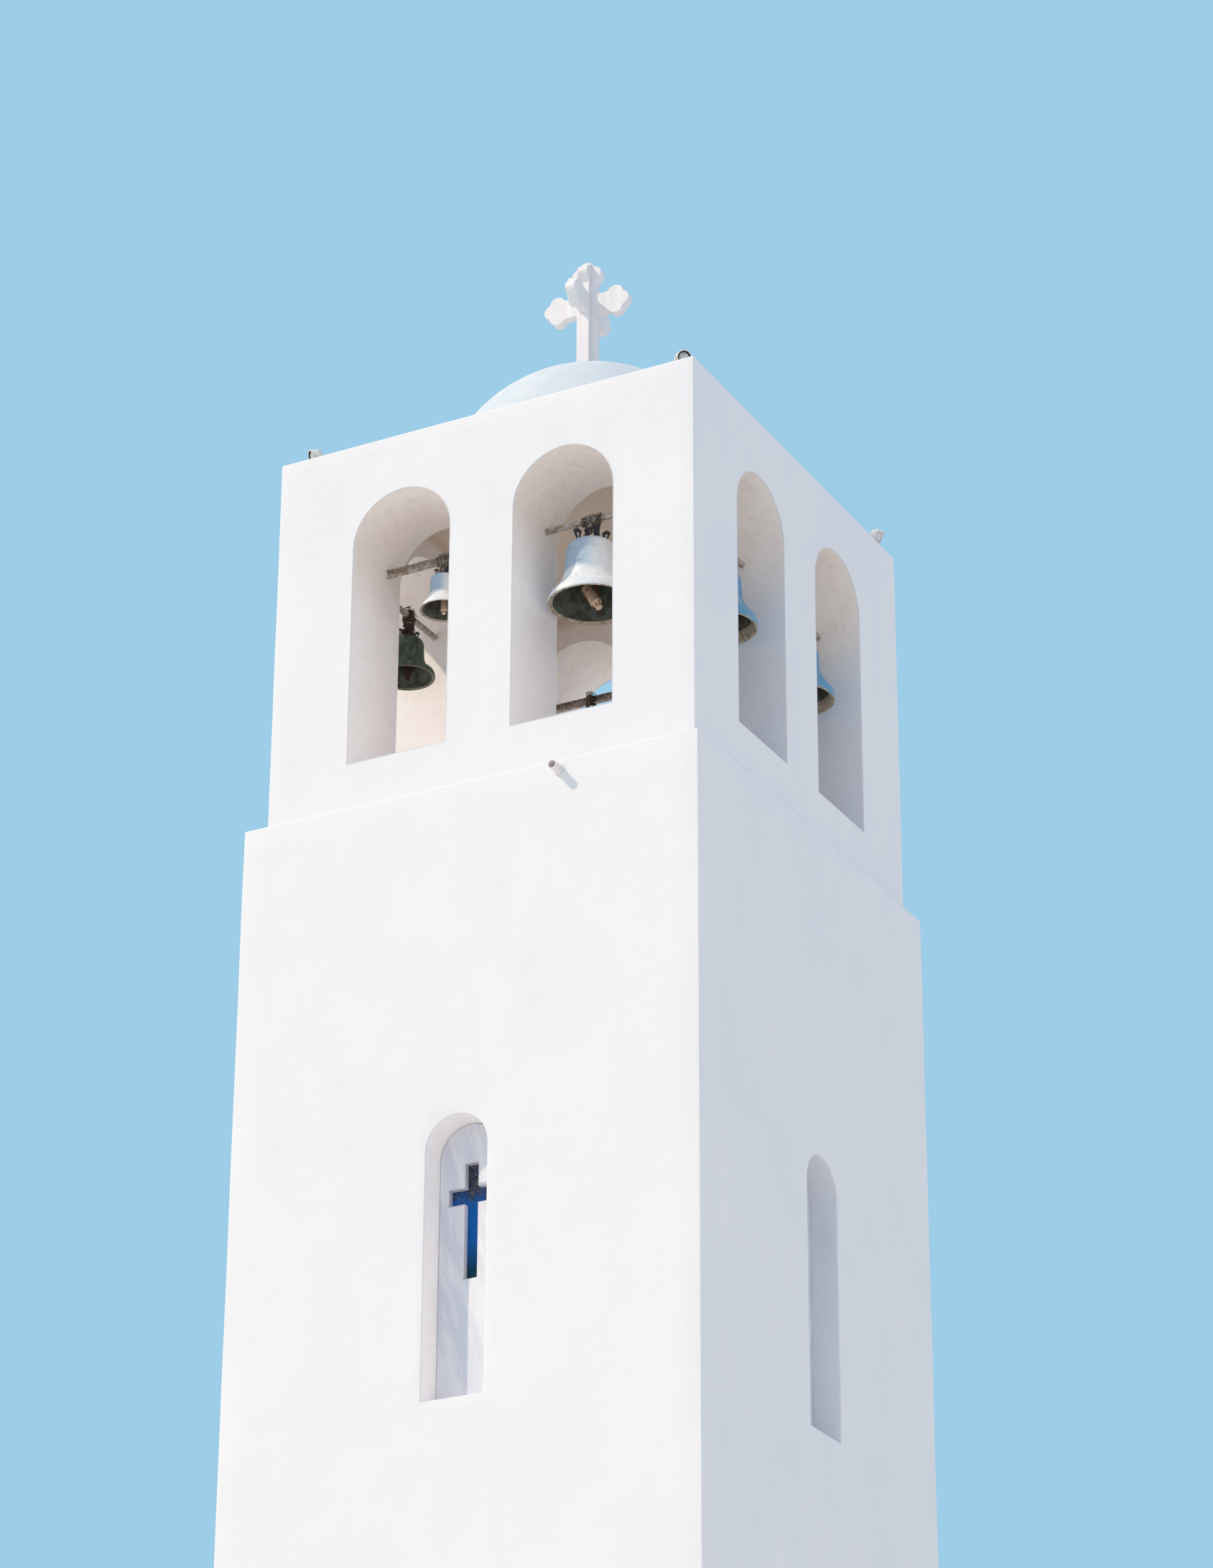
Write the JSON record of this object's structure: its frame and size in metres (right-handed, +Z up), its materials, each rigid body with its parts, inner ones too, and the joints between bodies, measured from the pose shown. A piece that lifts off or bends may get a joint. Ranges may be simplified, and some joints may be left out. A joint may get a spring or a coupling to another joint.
{
  "type": "bell tower",
  "caption": "Whitewashed square bell tower with a set-back arched belfry, hanging bells with swinging clappers, a dome and a trefoil cross.",
  "frame": {"origin": "middle of the shaft's base, at ground level", "axes": "+Z up, +X to the right along the front face, +Y into the depth; the front face, with the drain pipe, looks towards -Y"},
  "size_m": [3.7, 3.82, 20.9969],
  "materials": {
    "plaster": "whitewashed, hand-trowelled lime plaster",
    "dome_plaster": "smooth plaster, very pale blue limewash",
    "marble": "honed grey-veined white marble",
    "blue_glass": "deep blue glass",
    "rusty_steel": "grey galvanised steel with rust stains",
    "chain_iron": "dark rusty chain",
    "bell_paint": "white paint over cast bronze, chipped",
    "bell_bronze": "bronze with dark green patina",
    "clapper_iron": "rusty wrought iron",
    "drain_plastic": "white pipe",
    "mortar": "pinkish mortar",
    "lamp_metal": "weathered white enamel, black rim"
  },
  "bodies": {
    "tower": {"ground_floor": "plaster", "shaft_front_wall": "plaster", "shaft_back_wall": "plaster", "shaft_left_wall": "plaster", "shaft_right_wall": "plaster", "belfry_front_wall": "plaster", "belfry_back_wall": "plaster", "belfry_left_wall": "plaster", "belfry_right_wall": "plaster", "belfry_floor": "plaster", "roof_slab": "plaster", "dome": "dome_plaster", "roof_cross": "marble", "front_window_panel": "marble", "bell_beams_front": "rusty_steel", "bell_chains_front": "chain_iron", "back_window_panel": "marble", "bell_beams_back": "rusty_steel", "bell_chains_back": "chain_iron", "left_window_panel": "marble", "bell_beams_left": "rusty_steel", "bell_chains_left": "chain_iron", "right_window_panel": "marble", "bell_beams_right": "rusty_steel", "bell_chains_right": "chain_iron", "window_glass": "blue_glass", "drain_pipe": "drain_plastic", "drain_collar": "mortar", "roof_lamps": "lamp_metal", "bell_front_left": "bell_paint", "bell_front_right": "bell_paint", "bell_left_front": "bell_bronze", "bell_left_back": "bell_bronze", "clapper_left_back": "clapper_iron", "bell_right_front": "bell_paint", "bell_right_back": "bell_paint", "clapper_right_back": "clapper_iron", "bell_back_left": "bell_paint", "clapper_back_left": "clapper_iron", "bell_back_right": "bell_paint", "clapper_back_right": "clapper_iron"},
    "clapper_front_left": {"clapper_front_left": "clapper_iron"},
    "clapper_front_right": {"clapper_front_right": "clapper_iron"},
    "clapper_left_front": {"clapper_left_front": "clapper_iron"},
    "clapper_right_front": {"clapper_right_front": "clapper_iron"}
  },
  "joints": [
    {"name": "clapper_swing_front_left", "type": "hinge", "parent": "tower", "child": "clapper_front_left", "pos_m": [-0.576, -1.2345, 17.6944], "axis": [0, 1, 0], "range_deg": [-27, 27]},
    {"name": "clapper_swing_front_right", "type": "hinge", "parent": "tower", "child": "clapper_front_right", "pos_m": [0.662, -1.2215, 17.66519], "axis": [0, 1, 0], "range_deg": [-20, 20]},
    {"name": "clapper_swing_left_front", "type": "hinge", "parent": "tower", "child": "clapper_left_front", "pos_m": [-1.224, -0.655, 17.59836], "axis": [0, 1, 0], "range_deg": [-27, 27]},
    {"name": "clapper_swing_right_front", "type": "hinge", "parent": "tower", "child": "clapper_right_front", "pos_m": [1.414, -0.651, 17.49005], "axis": [0, 1, 0], "range_deg": [-27, 27]}
  ]
}
